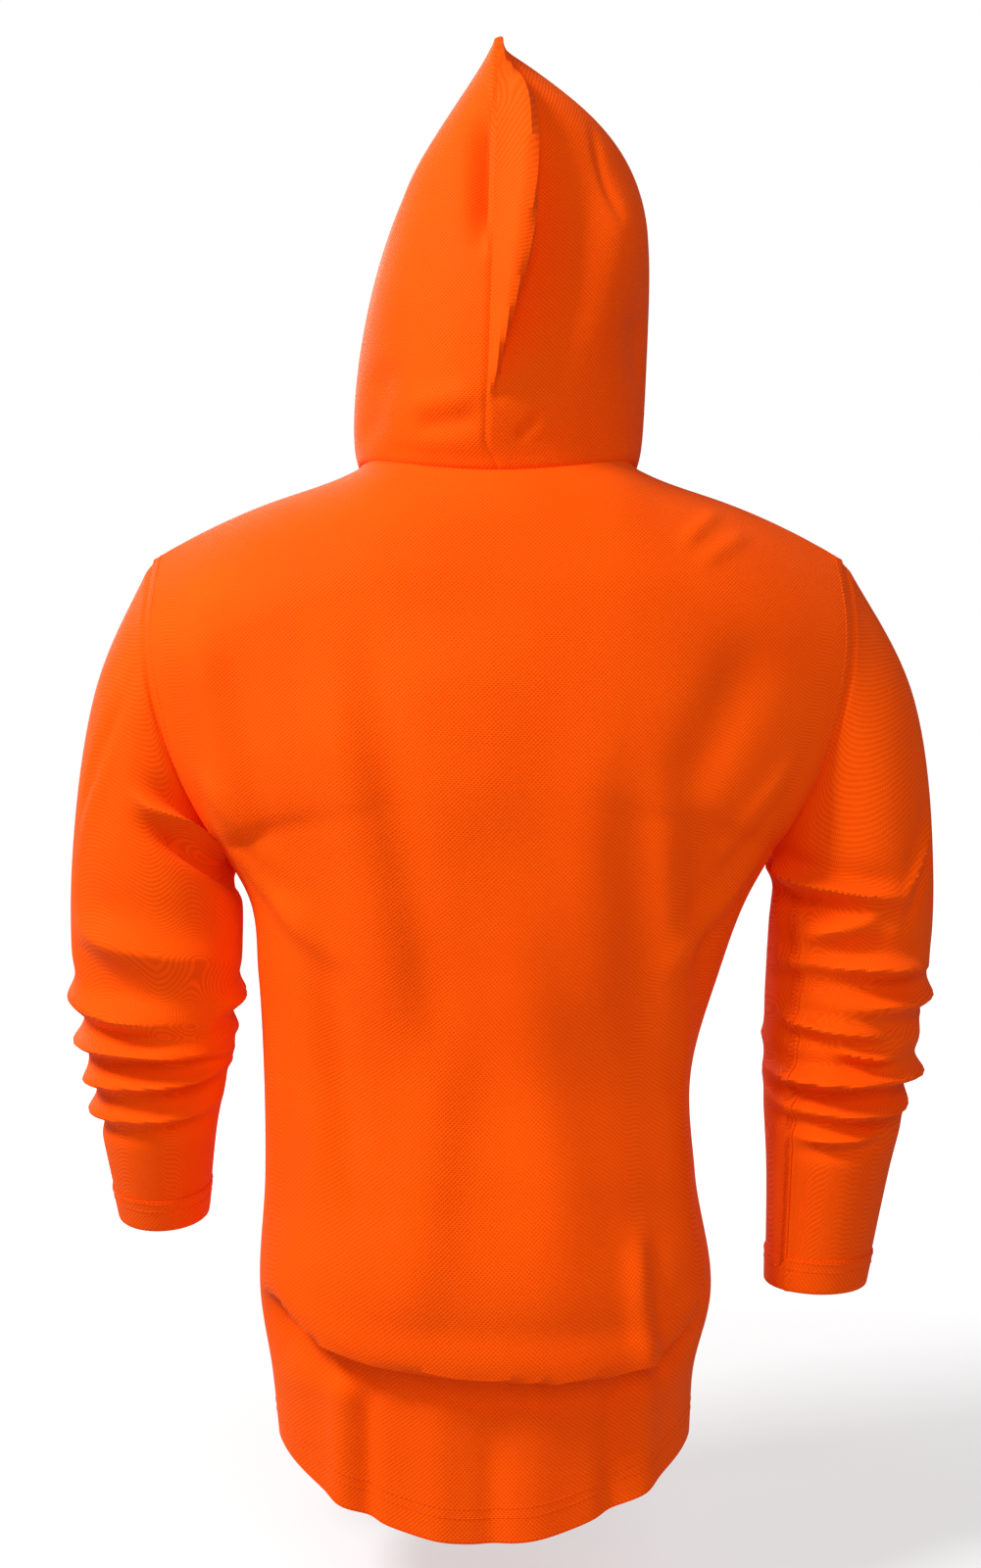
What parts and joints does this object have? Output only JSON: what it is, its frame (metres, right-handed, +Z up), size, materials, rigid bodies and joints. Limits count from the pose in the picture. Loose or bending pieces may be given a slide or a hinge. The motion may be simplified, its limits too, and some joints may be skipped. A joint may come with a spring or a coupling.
{
  "type": "hooded work shirt",
  "caption": "High-visibility orange hooded long-sleeve shirt in mesh knit, hood up, hanging as worn, with lined edges, turned hems and separate panels and sleeves.",
  "frame": {"origin": "middle of the neck, level with the back neck seam", "axes": "+Z up along the wearer's spine, the wearer faces -Y, the wearer's left arm is at +X"},
  "size_m": [0.6292, 0.2477, 1.0635],
  "materials": {
    "orange_mesh": "matt birdseye mesh knit with a slight sheen",
    "orange_thread": "satin polyester thread",
    "white_label": "smooth woven satin, blank"
  },
  "bodies": {
    "shirt_body": {"back_panel": "orange_mesh", "front_panel": "orange_mesh", "back_hem_turn_up": "orange_mesh", "front_hem_turn_up": "orange_mesh", "hem_stitch_upper": "orange_thread", "hem_stitch_lower": "orange_thread", "back_neck_topstitch": "orange_thread", "front_neck_topstitch": "orange_thread", "nape_label": "white_label", "care_label": "white_label", "left_shoulder_tape": "orange_mesh", "right_shoulder_tape": "orange_mesh", "left_side_seam_overlock": "orange_thread", "right_side_seam_overlock": "orange_thread", "left_armhole_stitch": "orange_thread", "right_armhole_stitch": "orange_thread"},
    "hood": {"left_hood_panel": "orange_mesh", "right_hood_panel": "orange_mesh", "left_face_hem": "orange_mesh", "right_face_hem": "orange_mesh", "left_face_stitch": "orange_thread", "right_face_stitch": "orange_thread", "neck_tape": "orange_mesh", "hood_seam_overlock": "orange_thread"},
    "left_sleeve": {"left_sleeve": "orange_mesh", "left_cuff_turn_up": "orange_mesh", "left_cuff_stitch_upper": "orange_thread", "left_cuff_stitch_lower": "orange_thread", "left_sleeve_seam_overlock": "orange_thread"},
    "right_sleeve": {"right_sleeve": "orange_mesh", "right_cuff_turn_up": "orange_mesh", "right_cuff_stitch_upper": "orange_thread", "right_cuff_stitch_lower": "orange_thread", "right_sleeve_seam_overlock": "orange_thread"}
  },
  "joints": [
    {"name": "left_sleeve_swing", "type": "hinge", "parent": "shirt_body", "child": "left_sleeve", "pos_m": [0.2555, 0, -0.052], "axis": [0, -1, 0], "range_deg": [0, 30]},
    {"name": "right_sleeve_swing", "type": "hinge", "parent": "shirt_body", "child": "right_sleeve", "pos_m": [-0.2555, 0, -0.052], "axis": [0, 1, 0], "range_deg": [0, 30]},
    {"name": "hood_tip_back", "type": "hinge", "parent": "shirt_body", "child": "hood", "pos_m": [0, 0.0745, 0.001], "axis": [-1, 0, 0], "range_deg": [0, 25]}
  ]
}
